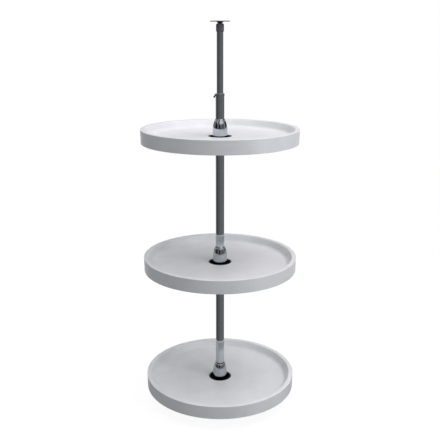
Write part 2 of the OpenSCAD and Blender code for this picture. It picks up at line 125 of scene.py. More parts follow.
# sizes in mm; the patch is the broad pattern and the grain the fine one. Moulded grain
# and lathe rings are finer on real pieces, and are drawn coarse enough to show
looks = {
    # white polystyrene, injection moulded in a lightly sparked tool: a clean cool white
    # with a satin shine, faint flow clouds and a fine even grain
    "tray_plastic": {
        "name": "white_polystyrene_moulded", "colours": ("#E9EAEC", "#E2E3E6"),
        "patch": 60, "patchDetail": 5, "rough": (0.30, 0.40),
        "grain": 0.9, "depth": 0.012, "relief": 0.6, "sockets": {"IOR": 1.5}},
    # drawn steel tube, nickel and chrome plated: a near mirror, faintly uneven along the
    # draw, with handling smears that barely dull it
    "chrome": {
        "name": "chrome_plated_steel", "colours": ("#C7CBD0", "#BEC3C9"),
        "patch": 14, "patchDetail": 5, "rough": (0.03, 0.07),
        "grain": 2.4, "stretch": (1, 1, 0.02), "depth": 0.0015, "relief": 0.2,
        "sockets": {"Metallic": 1.0}},
    # glass-filled nylon in black, moulded: a low shine broken by a leathery grain
    "black_nylon": {
        "name": "black_nylon_moulded", "colours": ("#121214", "#1E1E21"),
        "patch": 9, "rough": (0.26, 0.4),
        "grain": 0.5, "grainDetail": 3, "depth": 0.02, "sockets": {"IOR": 1.53}},
    # the same nylon in dark grey: duller, with a faint violet cast
    "grey_nylon": {
        "name": "grey_nylon_moulded", "colours": ("#5A585F", "#68666D"),
        "patch": 9, "rough": (0.50, 0.62),
        "grain": 0.5, "grainDetail": 3, "depth": 0.03, "sockets": {"IOR": 1.53}},
    # turned acetal: waxy ivory, a little light in its edges, fine lathe rings
    "acetal": {
        "name": "turned_acetal", "colours": ("#E6E1D3", "#DAD4C4"),
        "patch": 12, "rough": (0.36, 0.46),
        "grain": 0.4, "stretch": (0.03, 0.03, 1), "depth": 0.01,
        "sockets": {"IOR": 1.48, "Subsurface Weight": 0.15,
                    "Subsurface Radius": (0.003, 0.0025, 0.002)}},
    # pressed steel, bright zinc plated: grey, cloudy, with a straw tint in the passivation
    "zinc_steel": {
        "name": "zinc_plated_steel", "colours": ("#A9ADB4", "#B5B2A8"),
        "patch": 6, "rough": (0.26, 0.42),
        "grain": 0.35, "depth": 0.008, "sockets": {"Metallic": 1.0}},
    # free-cutting steel off the lathe: fine rings across the axis and a crisp shine
    "bright_steel": {
        "name": "turned_bright_steel", "colours": ("#B4B5B6", "#A6A6A4"),
        "patch": 5, "rough": (0.2, 0.34),
        "grain": 0.25, "stretch": (0.03, 0.03, 1), "depth": 0.006, "sockets": {"Metallic": 1.0}},
    # steel blackened in hot salts: blue-black, semi-matt, greyer where the oxide is thin
    "black_steel": {
        "name": "black_oxide_steel", "colours": ("#26282B", "#43464A"),
        "patch": 3, "rough": (0.34, 0.48),
        "grain": 0.3, "depth": 0.012, "sockets": {"Metallic": 0.75}},
}
finishes = {slot: makeFinish(look) for slot, look in looks.items()}
print("materials made:", len(finishes))


# mesh tools; sizes in mm

mergeWithin = 1e-7  # metres
ringWithin = 2e-6  # how near a corner has to be to its ring, in metres
crispFrom = 32  # turn of the surface, in degrees, from which a line stays crisp
crispFromWide = 40  # the same for the plated pieces and the lever


def roundEdges(bm, edges, width, segments, clamp=False):
    bmesh.ops.bevel(bm, geom=edges, offset=width * mm, affect="EDGES", segments=segments,
                    profile=0.5, material=-1, clamp_overlap=clamp)


# rounds the ring of edges at one radius and height
def roundRing(bm, radius, height, width, segments=4):
    def onRing(v):
        return (abs(math.hypot(v.co.x, v.co.y) - radius * mm) < ringWithin
                and abs(v.co.z - height * mm) < ringWithin)
    ring = [e for e in bm.edges if onRing(e.verts[0]) and onRing(e.verts[1])]
    if ring:
        roundEdges(bm, ring, width, segments, True)


# turns a closed outline about Z. Its points are (radius, height), and a rounded one goes
# on with how far the rounding runs back from its corner and, if not 4, its steps
def turned(outline, steps):
    bm = bmesh.new()
    verts = [bm.verts.new((p[0] * mm, 0, p[1] * mm)) for p in outline]
    for a, b in zip(verts, verts[1:] + verts[:1]):
        bm.edges.new((a, b))
    bmesh.ops.spin(bm, geom=bm.verts[:] + bm.edges[:], cent=origin, axis=(0, 0, 1),
                   angle=fullTurn, steps=steps, use_merge=True)
    bmesh.ops.remove_doubles(bm, verts=bm.verts, dist=mergeWithin)
    bmesh.ops.dissolve_degenerate(bm, edges=bm.edges, dist=mergeWithin)
    bmesh.ops.recalc_face_normals(bm, faces=bm.faces)
    for point in outline:
        if len(point) > 2:
            roundRing(bm, *point)
    return bm


# a box, with rounded edges where it has a width for them
def roundedBox(centre, size, width=0.0, segments=2):
    bm = bmesh.new()
    bmesh.ops.create_cube(bm, size=1)
    bmesh.ops.scale(bm, vec=[s * mm for s in size], verts=bm.verts)
    if width:
        roundEdges(bm, bm.edges[:], width, segments)
    bmesh.ops.translate(bm, vec=[c * mm for c in centre], verts=bm.verts)
    return bm


# a round bar along Z
def roundBar(radius, low, high, sides=48):
    bm = bmesh.new()
    bmesh.ops.create_cone(bm, cap_ends=True, segments=sides, radius1=radius * mm,
                          radius2=radius * mm, depth=(high - low) * mm)
    bmesh.ops.translate(bm, vec=(0, 0, (low + high) / 2 * mm), verts=bm.verts)
    return bm


# a round bar along Y
def disc(radius, x, z, low, high, sides=40):
    bar = roundBar(radius, low, high, sides)
    return moved(moved(bar, turn=-fullTurn / 4, axis="X"), (x, 0, z))


# an outline of points in the XZ plane, pulled out along Y
def plate(points, low, high):
    bm = bmesh.new()
    verts = [bm.verts.new((x * mm, low * mm, z * mm)) for x, z in points]
    face = bmesh.ops.contextual_create(bm, geom=verts)["faces"]
    made = bmesh.ops.extrude_face_region(bm, geom=face)["geom"]
    far = [v for v in made if isinstance(v, bmesh.types.BMVert)]
    bmesh.ops.translate(bm, vec=(0, (high - low) * mm, 0), verts=far)
    bmesh.ops.recalc_face_normals(bm, faces=bm.faces)
    return bm


# turns a shape about one axis and then shifts it
def moved(bm, shift=(0, 0, 0), turn=0.0, axis="Z"):
    bmesh.ops.rotate(bm, verts=bm.verts, cent=origin, matrix=Matrix.Rotation(turn, 3, axis))
    bmesh.ops.translate(bm, vec=[s * mm for s in shift], verts=bm.verts)
    return bm


# places on a circle of screw holes, the first one so many degrees from +X
def holeSpots(circle, count, first):
    angles = [math.radians(first) + i * fullTurn / count for i in range(count)]
    return [(circle * math.cos(a), circle * math.sin(a), 0) for a in angles]


def asObject(name, bm):
    mesh = bpy.data.meshes.new(name)
    bm.to_mesh(mesh)
    bm.free()
    thing = bpy.data.objects.new(name, mesh)
    bpy.context.scene.collection.objects.link(thing)
    return thing


# adds or cuts solids with an exact boolean and returns the result as a bmesh
def combine(bm, others, operation):
    body = asObject("work", bm)
    tools = [asObject("tool", other) for other in others]
    for tool in tools:
        step = body.modifiers.new("step", "BOOLEAN")
        step.operation, step.solver, step.object = operation, "EXACT", tool
    bpy.context.view_layer.update()
    finished = body.evaluated_get(bpy.context.evaluated_depsgraph_get())
    result = bmesh.new()
    result.from_mesh(finished.data)
    for thing in [body] + tools:
        mesh = thing.data
        bpy.data.objects.remove(thing)
        bpy.data.meshes.remove(mesh)
    bmesh.ops.remove_doubles(result, verts=result.verts, dist=mergeWithin)
    return result


# several loose shapes as one mesh
def joined(parts):
    whole = parts[0]
    for other in parts[1:]:
        mesh = bpy.data.meshes.new("part")
        other.to_mesh(mesh)
        other.free()
        whole.from_mesh(mesh)
        bpy.data.meshes.remove(mesh)
    return whole


def softShade(bm, limit):
    for face in bm.faces:
        face.smooth = True
    for edge in bm.edges:
        edge.smooth = not (edge.is_manifold and edge.calc_face_angle(0) > math.radians(limit))


# makes a piece: its body, the CAD nodes that it stands for and its finish. Its normals
# lean towards its large faces, so that a small rounding doesn't bend a long face's shine
def piece(name, bm, body, nodes, slot, limit=crispFrom):
    softShade(bm, limit)
    thing = asObject(name, bm)
    even = thing.modifiers.new("evenNormals", "WEIGHTED_NORMAL")
    even.mode, even.weight, even.keep_sharp = "FACE_AREA", 50, True
    thing.data.materials.append(finishes[slot])
    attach(thing, body)
    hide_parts(*nodes)
    return thing


def heights(node):
    low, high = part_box(node)
    return low.z / mm, high.z / mm


# trays. Heights of everything on a tier are from its tray's rim

tiers = ("bottom", "middle", "top")
rimHeights = {tier: heights(f"tray_{tier}")[1] for tier in tiers}
tray = {
    "radius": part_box("tray_top")[1].x / mm,
    "height": (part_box("tray_top")[1].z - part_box("tray_top")[0].z) / mm,
    "draft": 0.8, "rim": 13, "rimRound": 1.6, "wall": 3, "floorDrop": 22,
    # where the leaning wall would meet the floor, and its bend above and below
    "foot": 204.75, "bend": 7.24, "underBend": 9,
    "hole": 34.5, "holeBevel": 0.8, "pad": 54.5, "padStep": 3, "padSlope": 2,
    "ribs": 12, "ribWide": 2.4, "ribDeep": 9, "ribRound": 0.8, "ringRib": 130,
    "steps": 180,
}


# up the skirt, over the rim, down the leaning wall and across the floor to the hole, then
# back underneath; the ribs go in under the floor
def trayShape():
    t = tray
    floor = -t["floorDrop"]
    under = floor - t["wall"]
    padLow = under - t["padStep"]
    top = t["radius"] - t["rim"]
    lean = (top - t["foot"]) / t["floorDrop"]
    shift = t["wall"] * math.hypot(1, lean)
    skirt = t["radius"] - t["draft"]
    shell = turned([
        (skirt, -t["height"], 0.8), (t["radius"], 0, t["rimRound"], 6),
        (top, 0, t["rimRound"], 6), (t["foot"], floor, t["bend"], 12),
        (t["hole"] + t["holeBevel"], floor, 0.3, 2), (t["hole"], floor - t["holeBevel"], 0.3, 2),
        (t["hole"], padLow, 0.4, 2), (t["pad"], padLow, 0.5, 3),
        (t["pad"] + t["padSlope"], under, 1.2, 3),
        (t["foot"] + shift - lean * t["wall"], under, t["underBend"], 8),
        (top + shift - lean * t["wall"], -t["wall"], 1.2, 3),
        (t["radius"] - t["wall"], -t["wall"], 1.2, 3), (skirt - t["wall"], -t["height"], 0.8),
    ], t["steps"])

    ribTop = under + t["wall"] / 2
    ribLow = under - t["ribDeep"]
    ribTall = t["ribDeep"] + t["wall"] / 2
    ringInside = t["ringRib"] - t["ribWide"]
    ribs = [turned([
        (t["ringRib"], ribTop), (t["ringRib"], ribLow, t["ribRound"], 3),
        (ringInside, ribLow, t["ribRound"], 3), (ringInside, ribTop),
    ], t["steps"])]
    length = t["radius"] - t["draft"] - t["wall"] / 2 - t["pad"]
    middle = ribTop - ribTall / 2
    for i in range(t["ribs"]):
        bar = roundedBox((t["pad"] + length / 2, 0, middle), (length, t["ribWide"], ribTall))
        low = [e for e in bar.edges if all(v.co.z < middle * mm for v in e.verts)]
        roundEdges(bar, low, t["ribRound"], 3)
        ribs.append(moved(bar, turn=(i + 0.5) * fullTurn / t["ribs"]))
    return combine(shell, ribs, "UNION")


trayBase = trayShape()
for tier in tiers:
    shape = moved(trayBase.copy(), (0, 0, rimHeights[tier]))
    piece(f"tray_moulding_{tier}", shape, f"tier_{tier}", [f"tray_{tier}"], "tray_plastic")
trayBase.free()
print("trays made")


# hubs, under and through the trays' middle holes

hub = {
    "bore": 12.75, "sleeve": 14.25, "sleeveTop": 17.8,
    "well": 34.25, "wellWall": 2.6, "wellBottom": -40, "lip": -22.6, "lipRound": 0.7,
    "flange": 53, "thick": 3, "pad": -28,
    # the split end, and the bar that cuts two opposite slots at once
    "collet": 15.95, "colletEnd": -58, "slots": 4, "slotWide": 2, "slotLong": 14, "slotBar": 40,
    "screws": 4, "screwCircle": 43.5, "steps": 96,
}


# a sleeve on the post in a well that hangs by its flange under the tray, and the split
# end below that the clamp closes
def hubShape():
    h = hub
    inside = h["well"] - h["wellWall"]
    flangeLow = h["pad"] - h["thick"]
    bottom = h["wellBottom"] - h["thick"]
    body = turned([
        (h["bore"], h["sleeveTop"], 0.3, 2), (h["sleeve"], h["sleeveTop"], 0.4, 2),
        (h["sleeve"], h["wellBottom"], 1, 3), (inside, h["wellBottom"], 1.5, 4),
        (inside, h["lip"], h["lipRound"], 3), (h["well"], h["lip"], h["lipRound"], 3),
        (h["well"], h["pad"]), (h["flange"], h["pad"], 0.5, 2), (h["flange"], flangeLow, 0.9, 3),
        (h["well"], flangeLow, 1.5, 3), (h["well"], bottom, 1.6, 4), (h["collet"], bottom, 1, 3),
        (h["collet"], h["colletEnd"], 0.5, 2), (h["bore"], h["colletEnd"], 0.4, 2),
    ], h["steps"])
    middle = (0, 0, h["colletEnd"] + h["slotLong"] / 2 - past)
    size = (h["slotBar"], h["slotWide"], h["slotLong"] + 2 * past)
    slots = [moved(roundedBox(middle, size), turn=(i + 0.5) * fullTurn / h["slots"])
             for i in range(h["slots"] // 2)]
    return combine(body, slots, "DIFFERENCE")


# pan-head screws with a cross slot, pointing up into the tray
panHead = {
    "radius": 4, "height": 2.6, "rimTall": 1.2, "crownShare": 0.62,
    "slotLong": 4.4, "slotWide": 1, "slotDeep": 1.4, "slotRound": 0.12,
    "shank": 2, "length": 7.5, "tipWide": 0.4, "tipTall": 0.8, "steps": 40,
}


def hubScrewShape():
    s = panHead
    under = hub["pad"] - hub["thick"]
    tip = under + s["length"]
    face = under - s["height"]
    screw = turned([
        (0, tip), (s["shank"] - s["tipWide"], tip), (s["shank"], tip - s["tipTall"]),
        (s["shank"], under), (s["radius"], under, 0.2, 2),
        (s["radius"], under - s["rimTall"], 1, 5),
        (s["radius"] * s["crownShare"], face, 0.8, 4), (0, face),
    ], s["steps"])
    size = (s["slotLong"], s["slotWide"], s["slotDeep"] * 2)
    cuts = [moved(roundedBox((0, 0, face), size, s["slotRound"]), turn=turn)
            for turn in (0, fullTurn / 4)]
    return combine(screw, cuts, "DIFFERENCE")


hubBase = hubShape()
screwBase = hubScrewShape()
for tier in tiers:
    rise = (0, 0, rimHeights[tier])
    piece(f"hub_moulding_{tier}", moved(hubBase.copy(), rise), f"tier_{tier}",
          [f"hub_{tier}"], "black_nylon")
    ring = []
    for i in range(hub["screws"]):
        screw = moved(screwBase.copy(), (hub["screwCircle"], 0, 0))
        ring.append(moved(screw, rise, i * fullTurn / hub["screws"]))
    piece(f"hub_screw_set_{tier}", joined(ring), f"tier_{tier}",
          [f"hub_screws_{tier}"], "zinc_steel")
hubBase.free()
screwBase.free()
print("hubs made")


# bells, the plated covers over the hubs

bell = {
    "bore": 13, "neck": 13.5, "neckTop": 27, "neckFoot": 15.2, "neckLow": 23,
    "top": 23, "shoulder": 17.1, "shoulderRound": 4, "shoulderSteps": 8,
    "radius": 21.4, "domeTall": 28.5, "domeSteps": 18, "bottom": -40, "wall": 1.2, "steps": 128,
}


# points of the outline along an arc about (r, z), from one angle to another
def arcPoints(r, z, radius, first, last, steps):
    turns = [first + (last - first) * i / steps for i in range(steps + 1)]
    return [(r + radius * math.cos(t), z + radius * math.sin(t)) for t in turns]


# the side is one large arc, upright at its foot, that runs into the shoulder's small one
def bellShape():
    b = bell
    w = b["wall"]
    rounding = b["shoulderRound"]
    centre = b["shoulder"] - rounding
    tall = b["domeTall"] - rounding
    wide = b["radius"] - centre
    dome = (wide * wide + tall * tall - rounding * rounding) / (2 * (wide - rounding))
    lean = math.asin(tall / (dome - rounding))
    side = (b["radius"] - dome, b["top"] - b["domeTall"])
    corner = (centre, b["top"] - rounding)
    meeting = math.acos((b["neckFoot"] - centre) / rounding)
    outside = arcPoints(*corner, rounding, meeting, lean, b["shoulderSteps"])
    outside += arcPoints(*side, dome, lean, 0, b["domeSteps"])[1:]
    inside = arcPoints(*side, dome - w, 0, lean, b["domeSteps"])
    inside += arcPoints(*corner, rounding - w, lean, fullTurn / 4, b["shoulderSteps"])[1:]
    neck = [(b["bore"], b["neckTop"]), (b["neck"], b["neckTop"], 0.25, 3),
            (b["neckFoot"], b["neckLow"], 0.3, 3)]
    hem = [(b["radius"], b["bottom"], 0.3, 2), (b["radius"] - w, b["bottom"], 0.3, 2)]
    return turned(neck + outside + hem + inside + [(b["bore"], b["top"] - w)], b["steps"])


bellBase = bellShape()
for tier in tiers:
    shape = moved(bellBase.copy(), (0, 0, rimHeights[tier]))
    piece(f"bell_cover_{tier}", shape, f"tier_{tier}", [f"bell_{tier}"], "chrome", crispFromWide)
bellBase.free()
print("bells made")


# clamp collars and their cap screws, behind the post under each tray

clamp = {
    "bore": 16, "radius": 20, "low": -55, "high": -45, "round": 0.6, "steps": 96,
    # the two ears, the gap between them and how deep their root is sunk in the ring
    "gap": 2.4, "ear": 4.5, "reach": 9, "root": 2,
    # the cap screw, whose hex is measured across its flats
    "screw": 2, "head": 3.5, "headTall": 4, "hex": 3, "hexDeep": 2, "standOut": 1,
    "tipWide": 0.4, "tipTall": 0.5, "holeLong": 20, "screwSteps": 40,
}
clampMiddle = (clamp["high"] + clamp["low"]) / 2


# lays an upright shape down along X, where the screw goes through the ears
def acrossEars(bm):
    spot = (0, clamp["radius"] + clamp["reach"] / 2, clampMiddle)
    return moved(moved(bm, turn=fullTurn / 4, axis="Y"), spot)


def clampShape():
    c = clamp
    height = c["high"] - c["low"]
    ring = turned([
        (c["bore"], c["high"], 0.4, 2), (c["radius"], c["high"], c["round"], 3),
        (c["radius"], c["low"], c["round"], 3), (c["bore"], c["low"], 0.4, 2),
    ], c["steps"])
    length = c["reach"] + c["root"]
    ears = roundedBox((0, c["radius"] - c["root"] + length / 2, clampMiddle),
                      (c["gap"] + 2 * c["ear"], length, height), c["round"], 3)
    ring = combine(ring, [ears], "UNION")
    slit = roundedBox((0, c["radius"], clampMiddle), (c["gap"], 2 * c["radius"], 2 * height))
    bore = roundBar(c["bore"], c["low"] - past, c["high"] + past, c["steps"])
    hole = acrossEars(roundBar(c["screw"] + slack, -c["holeLong"] / 2, c["holeLong"] / 2))
    return combine(ring, [slit, bore, hole], "DIFFERENCE")


def capScrewShape():
    c = clamp
    seat = c["gap"] / 2 + c["ear"]
    face = seat + c["headTall"]
    tip = -seat - c["standOut"]
    body = turned([
        (0, tip), (c["screw"] - c["tipWide"], tip), (c["screw"], tip + c["tipTall"]),
        (c["screw"], seat), (c["head"], seat, 0.2, 2), (c["head"], face, 0.5, 3), (0, face),
    ], c["screwSteps"])
    socket = roundBar(c["hex"] / math.sqrt(3), -c["hexDeep"], c["hexDeep"], 6)
    return acrossEars(combine(body, [moved(socket, (0, 0, face))], "DIFFERENCE"))


clampBase = clampShape()
capScrewBase = capScrewShape()
for tier in tiers:
    rise = (0, 0, rimHeights[tier])
    piece(f"clamp_collar_{tier}", moved(clampBase.copy(), rise), f"tier_{tier}",
          [f"clamp_{tier}"], "zinc_steel")
    piece(f"clamp_cap_screw_{tier}", moved(capScrewBase.copy(), rise), f"tier_{tier}",
          [f"clamp_screw_{tier}"], "black_steel")
clampBase.free()
capScrewBase.free()
print("clamps made")


# the post's two tubes

post = {"outer": 12.7, "outerBore": 11.5, "inner": 9.525, "innerBore": 8.325, "edge": 0.25,
        "steps": 96}
tubeLow, tubeHigh = heights("outer_tube")
innerLow, innerHigh = heights("inner_tube")

# the lock at the outer tube's mouth, down from the mouth: ferrule, its window and lugs,
# and the lever with its cam
mouth = heights("lock_ferrule")[1]
lock = {
    "tall": 8, "wall": 0.6, "lip": 1.5, "bore": 9.825, "edge": 1.4,
    "window": 5.6, "windowDeep": 10, "lug": 1.8, "lugRadius": 2.3, "lugRoot": -8,
    "pin": 0.9, "pinSteps": 32, "pivotX": -13.6, "pivotDrop": 5,
    "cam": 2, "camThrow": 0.25, "arm": 6, "armThick": 3.8, "lean": 28, "end": 2.5, "wide": 5,
    "armEdge": 0.35, "corner": 1,  # rounding of the arm's edges, which turn more than this, rad
}


def tubeShape(radius, bore, low, high):
    e = post["edge"]
    return turned([(bore, high, e, 2), (radius, high, e, 2), (radius, low, e, 2),
                   (bore, low, e, 2)], post["steps"])


window = roundedBox((-post["outer"], 0, mouth),
                    (2 * post["outer"], lock["window"], 2 * lock["windowDeep"]))
outer = combine(tubeShape(post["outer"], post["outerBore"], tubeLow, tubeHigh), [window],
                "DIFFERENCE")
piece("outer_tube_plated", outer, "post", ["outer_tube"], "chrome", crispFromWide)
inner = tubeShape(post["inner"], post["innerBore"], innerLow, innerHigh)
piece("inner_tube_plated", inner, "inner_post", ["inner_tube"], "chrome", crispFromWide)
print("tubes made")


def ferruleShape():
    k = lock
    radius = post["outer"] + k["wall"]
    low = mouth - k["tall"]
    pivotZ = mouth - k["pivotDrop"]
    half = k["window"] / 2
    ring = turned([(k["bore"], low), (radius, low), (radius, mouth, k["edge"], 8),
                   (k["bore"], mouth, 0.5, 3)], post["steps"])
    lugs = []
    lugLow, lugHigh = pivotZ - k["lugRadius"], pivotZ + k["lugRadius"]
    for a, b in ((-half - k["lug"], -half), (half, half + k["lug"])):
        lugs.append(disc(k["lugRadius"], k["pivotX"], pivotZ, a, b))
        lugs.append(plate([(k["pivotX"], lugLow), (k["lugRoot"], lugLow),
                           (k["lugRoot"], lugHigh), (k["pivotX"], lugHigh)], a, b))
    ring = combine(ring, lugs, "UNION")
    tall = k["tall"] - k["lip"]
    tube = roundBar(post["outer"] + slack, low - past, mouth - k["lip"], post["steps"])
    opening = roundedBox((-radius, 0, low + tall / 2 - past),
                         (2 * radius, k["window"], tall + 2 * past))
    return combine(ring, [tube, opening], "DIFFERENCE")


def leverShape():
    k = lock
    half = k["wide"] / 2
    lean = math.radians(k["lean"])
    down = Vector((-math.sin(lean), -math.cos(lean)))
    side = Vector((down.y, -down.x)) * k["armThick"] / 2
    end = down * k["arm"]
    arm = plate([tuple(side), tuple(end + side), tuple(end - side), tuple(-side)], -half, half)
    ends = [disc(k["cam"], k["camThrow"], 0, -half, half),
            disc(k["end"], end.x, end.y, -half, half)]
    body = combine(arm, ends, "UNION")
    edges = [e for e in body.edges if e.is_manifold and e.calc_face_angle(0) > k["corner"]]
    roundEdges(body, edges, k["armEdge"], 3)
    return moved(body, (k["pivotX"], 0, mouth - k["pivotDrop"]))


def leverPinShape():
    k = lock
    half = k["window"] / 2 + k["lug"]
    pin = turned([(0, half), (k["pin"], half, 0.2, 2), (k["pin"], -half, 0.2, 2), (0, -half)],
                 k["pinSteps"])
    return moved(moved(pin, turn=fullTurn / 4, axis="X"),
                 (k["pivotX"], 0, mouth - k["pivotDrop"]))


piece("lock_ferrule_plated", ferruleShape(), "post", ["lock_ferrule"], "chrome", crispFromWide)
piece("lock_lever_arm", leverShape(), "lever", ["lock_lever"], "black_steel", crispFromWide)
piece("lever_pivot_pin", leverPinShape(), "post", ["lever_pin"], "bright_steel")
print("lock made")


# the top bearing: cap, socket and plate

capLow, capHigh = heights("top_cap")
socketLow, socketHigh = heights("top_socket")
plateLow, plateHigh = heights("top_plate")
crown = {
    "radius": 11.1, "topBevel": 3, "lowBevel": 1.4, "lowTall": 2.1, "thick": 6.5,
    "bore": 4.05, "tubeBore": 9.575, "steps": 96,
    "neck": 6.8, "flare": 10.5, "flareEdge": 0.4, "flareTall": 2.8, "socketSteps": 72,
    "plate": 27.5, "holes": 3, "holeCircle": 20, "hole": 2.25, "firstHole": 30, "holeSteps": 32,
}


def capShape():
    c = crown
    inside = capHigh - c["thick"]
    return turned([
        (c["bore"], capHigh, 0.3, 2), (c["radius"] - c["topBevel"], capHigh, 0.6, 4),
        (c["radius"], capHigh - c["topBevel"], 0.8, 4),
        (c["radius"], capLow + c["lowTall"], 0.6, 3), (c["radius"] - c["lowBevel"], capLow, 0.2, 2),
        (c["tubeBore"], capLow, 0.1, 1), (c["tubeBore"], inside), (c["bore"], inside),
    ], c["steps"])


def socketShape():
    c = crown
    return turned([
        (c["bore"], socketHigh, 0.2, 1), (c["neck"], socketHigh, 0.2, 2), (c["neck"], plateLow),
        (c["flare"], plateLow), (c["flare"], plateLow - c["flareEdge"], 0.2, 2),
        (c["neck"], plateLow - c["flareTall"], 0.9, 4), (c["neck"], socketLow, 0.4, 2),
        (c["bore"], socketLow, 0.2, 2),
    ], c["socketSteps"])


def topPlateShape():
    c = crown
    disk = turned([
        (c["neck"] + slack, plateHigh, 0.15, 1), (c["plate"], plateHigh, 0.7, 4),
        (c["plate"], plateLow, 0.4, 3), (c["neck"] + slack, plateLow, 0.15, 1),
    ], c["steps"])
    holes = [moved(roundBar(c["hole"], plateLow - past, plateHigh + past, c["holeSteps"]), spot)
             for spot in holeSpots(c["holeCircle"], c["holes"], c["firstHole"])]
    return combine(disk, holes, "DIFFERENCE")


piece("top_cap_moulding", capShape(), "inner_post", ["top_cap"], "grey_nylon")
piece("top_socket_moulding", socketShape(), "top_mount", ["top_socket"], "black_nylon")
piece("top_plate_disc", topPlateShape(), "top_mount", ["top_plate"], "zinc_steel")
print("top bearing made")


# the foot: floor flange, washer and plug

flangeTop = heights("floor_flange")[1]
footLow, footTop = heights("foot_plug")
washerLow, washerHigh = heights("thrust_washer")
foot = {
    "flange": 52, "thick": 3, "boss": 17, "slope": 3, "bore": 3.55, "rivet": 5, "rivetDeep": 1.5,
    # the screw holes and their countersinks, which stand a little proud to cut cleanly
    "holes": 4, "holeCircle": 40, "hole": 2.6, "firstHole": 45, "sink": 1.6, "sinkPast": 0.1,
    "washer": 13, "washerBore": 5.1,
    "plug": 14.5, "plugTall": 5, "plugBore": 5.05, "plugBoreDeep": 26, "shank": 11.45,
    "steps": 96, "holeSteps": 32,
}


def flangeShape():
    f = foot
    disk = turned([
        (f["bore"], flangeTop, 0.2, 1), (f["boss"], flangeTop, 0.8, 4),
        (f["boss"] + f["slope"], f["thick"], 1.2, 4), (f["flange"], f["thick"], 1, 5),
        (f["flange"], 0, 0.3, 2), (f["rivet"], 0, 0.2, 1), (f["rivet"], f["rivetDeep"]),
        (f["bore"], f["rivetDeep"]),
    ], f["steps"])
    sinkTop = f["thick"] + f["sinkPast"]
    sinkLow = f["thick"] - f["sink"]
    cone = [(0, sinkTop), (f["hole"] + f["sink"], sinkTop), (f["hole"] - f["sinkPast"], sinkLow),
            (0, sinkLow)]
    holes = []
    for spot in holeSpots(f["holeCircle"], f["holes"], f["firstHole"]):
        holes.append(moved(roundBar(f["hole"], -past, f["thick"] + past, f["holeSteps"]), spot))
        holes.append(moved(turned(cone, f["holeSteps"]), spot))
    return combine(disk, holes, "DIFFERENCE")


def plugShape():
    f = foot
    shoulder = footLow + f["plugTall"]
    boreTop = footLow + f["plugBoreDeep"]
    return turned([
        (0, boreTop), (f["plugBore"], boreTop), (f["plugBore"], footLow, 0.5, 2),
        (f["plug"], footLow, 0.6, 3), (f["plug"], shoulder, 0.8, 4), (f["shank"], shoulder),
        (f["shank"], footTop, 0.6, 3), (0, footTop),
    ], f["steps"])


def washerShape():
    f = foot
    return turned([
        (f["washerBore"], washerHigh, 0.2, 2), (f["washer"], washerHigh, 0.3, 3),
        (f["washer"], washerLow, 0.3, 3), (f["washerBore"], washerLow, 0.2, 2),
    ], f["steps"])


piece("floor_flange_pressing", flangeShape(), "base", ["floor_flange"], "zinc_steel")
piece("thrust_washer_ring", washerShape(), "base", ["thrust_washer"], "acetal")
piece("foot_plug_moulding", plugShape(), "post", ["foot_plug"], "black_nylon")
print("foot made")


# inner pieces that keep their CAD shape

kept = {"floor_pivot_pin": "bright_steel", "guide_bush": "black_nylon", "brake_shoe": "acetal",
        "tail_guide": "acetal", "tube_plug": "acetal", "top_pivot_pin": "bright_steel"}
for node, slot in kept.items():
    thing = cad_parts[node]
    thing.data.materials.clear()
    thing.data.materials.append(finishes[slot])
print("inner pieces dressed")


# the studio; sizes in metres

# white paper on the floor. It fades out into the white room between two distances from
# its middle, and metal and gloss don't see it until well behind the post
paper = {"middle": (0, 0.4), "radius": 1.6, "sides": 96, "drop": 0.0005,
         "fadeFrom": 1.1, "fadeTo": 1.55, "mirrorFrom": 0.55, "mirrorTo": 1.1,
         "colour": "#5E5E5E", "glow": 0.93}
white = hexColour("#FFFFFF")


# one factor for the rays that see white: the camera's everywhere, and those of metal,
# gloss and glass where the mask says so
def whiteFor(tree, mask):
    light = addNode(tree, "ShaderNodeLightPath").outputs
    shiny = addNode(tree, "ShaderNodeMath", {"operation": "MAXIMUM"},
                    {0: light["Is Glossy Ray"], 1: light["Is Transmission Ray"]})
    shiny = addNode(tree, "ShaderNodeMath", {"operation": "MULTIPLY"},
                    {0: shiny.outputs[0], 1: mask})
    seen = addNode(tree, "ShaderNodeMath", {"operation": "MAXIMUM"},
                   {0: light["Is Camera Ray"], 1: shiny.outputs[0]})
    return seen.outputs[0]


